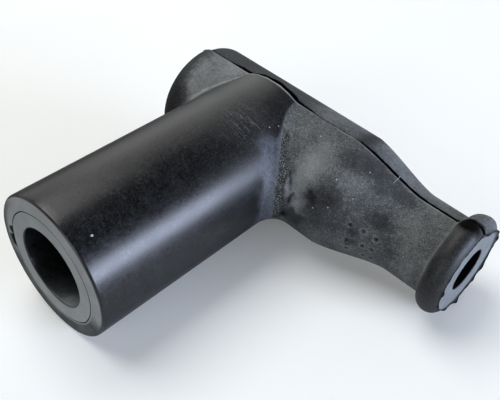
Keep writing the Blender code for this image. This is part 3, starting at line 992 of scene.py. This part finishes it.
def bench():
    """A wide pale floor just under the boot. The camera sees it white, and glowing up to full white
    far away. What the boot mirrors and is lit by is a smaller pale patch that reaches furthest
    towards the window."""
    mesh = bpy.data.meshes.new("bench_top")
    side = 1.5
    corners = [(-side, -side, 0), (side, -side, 0), (side, side, 0), (-side, side, 0)]
    mesh.from_pydata(corners, [], [(0, 1, 2, 3)])
    floor = bpy.data.objects.new("bench_top", mesh)
    bpy.context.scene.collection.objects.link(floor)
    made, tree, shader = material("white_laminate")
    place = add(tree, "TexCoord", out=3)
    clouds = add(tree, "TexNoise", {"Vector": place, "Scale": 1 / (BENCH_CLOUDS * MM), "Detail": 3.0})
    tones = {0: clouds, 6: linear("#f1f4f3"), 7: linear("#f7f9f8")}
    white = add(tree, "Mix", tones, out=2, data_type="RGBA")
    tree.links.new(white, shader.inputs["Emission Color"])
    seen = add(tree, "LightPath", out=0)
    away = add(tree, "VectorMath", [place], out=1, operation="LENGTH")
    aside = add(tree, "VectorMath", [place, (-0.7, 0.0, 0.0)], out=1, operation="DOT_PRODUCT")
    beyond = add(tree, "Math", [away, aside], operation="ADD")
    beyond = add(tree, "MapRange", [beyond, 0.06, 0.11])
    tones = {0: beyond, 6: linear("#d2d4d5"), 7: linear("#4c4c4e")}
    bounced = add(tree, "Mix", tones, out=2, data_type="RGBA")
    colour = add(tree, "Mix", {0: seen, 6: bounced, 7: white}, out=2, data_type="RGBA")
    tree.links.new(colour, shader.inputs["Base Color"])
    glow = add(tree, "MapRange", [away, 0.16, 0.8, 0.115, 0.9])
    glow = add(tree, "Math", [seen, glow], operation="MULTIPLY")
    tree.links.new(glow, shader.inputs["Emission Strength"])
    shader.inputs["Roughness"].default_value = 0.8
    mesh.materials.append(made)


def softbox(name, azimuth, elevation, distance, width, height, radiance, colour):
    """A rectangular area lamp that faces the boot. Azimuth is from -Y towards +X."""
    lamp = bpy.data.lights.new(name, "AREA")
    lamp.shape = "RECTANGLE"
    lamp.size, lamp.size_y = width, height
    lamp.energy = radiance * pi * width * height
    lamp.color = colour
    obj = bpy.data.objects.new(name, lamp)
    a, e = radians(azimuth), radians(elevation)
    towards = Vector((np.sin(a) * np.cos(e), -np.cos(a) * np.cos(e), np.sin(e)))
    obj.location = towards * distance
    obj.rotation_euler = towards.to_track_quat("Z", "Y").to_euler()
    bpy.context.scene.collection.objects.link(obj)


def room():
    """Pale near the horizon and dark overhead, as a white studio with its lamps off, and white
    where the camera sees it."""
    world = bpy.data.worlds.new("studio")
    world.use_nodes = True
    bpy.context.scene.world = world
    tree = world.node_tree
    place = add(tree, "TexCoord")
    up = add(tree, "SeparateXYZ", [place], out=2)
    tone = add(tree, "MapRange", [up, 0.3, 0.62, 0.85, 0.05])
    aside = add(tree, "VectorMath", [place, (-0.7, 0.7, 0.0)], out=1, operation="DOT_PRODUCT")
    paler = add(tree, "MapRange", [aside, -0.3, 0.5, 0.3, 0.95])
    tone = add(tree, "Math", [tone, paler], operation="MULTIPLY")
    seen = add(tree, "LightPath", out=0)
    tone = add(tree, "Math", [tone, seen], operation="MAXIMUM")
    tree.links.new(tone, tree.nodes["Background"].inputs["Color"])


def camera():
    """The camera at the photo's viewpoint."""
    lens = bpy.data.cameras.new("camera")
    lens.lens = CAMERA_LENS
    lens.clip_start = 0.005
    obj = bpy.data.objects.new("camera", lens)
    bpy.context.scene.collection.objects.link(obj)
    place = Vector(CAMERA_PLACE) * MM
    aim = Vector(CAMERA_AIM) * MM
    look = (aim - place).to_track_quat("-Z", "Y").to_matrix().to_4x4()
    obj.matrix_world = Matrix.Translation(place) @ look @ Matrix.Rotation(radians(CAMERA_ROLL), 4, "Z")
    bpy.context.scene.camera = obj


camera()
boot = rubber_boot()
paint_boot(boot)
crumbs = settled_dust()
terminal = wire_terminal()
terminal.data.shade_smooth()
turn = lay_down([boot, crumbs, terminal])
boot.data.materials.clear()
boot.data.materials.append(boot_rubber(turn))
crumbs.data.materials.append(dust())
join(boot, crumbs)
terminal.data.materials.append(spring_steel())
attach(boot, "root")
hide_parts("rubber_boot")
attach(terminal, "root")
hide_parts("terminal_spring")

bench()
room()
# Each lamp: azimuth, elevation, distance, width, height, radiance and colour
softbox("window", 105, 8, 0.8, 0.66, 0.33, 16.8, (0.68, 0.77, 1.0))
softbox("front", 8, 24, 0.8, 0.5, 0.35, 2.8, (1.0, 1.0, 1.0))
softbox("ceiling", -82, 64, 0.8, 0.66, 0.56, 3.8, (1.0, 0.99, 0.97))
softbox("far_left", -135, 32, 0.8, 0.6, 0.5, 0.8, (1.0, 0.99, 0.97))
bpy.context.scene.view_settings.view_transform = "Standard"
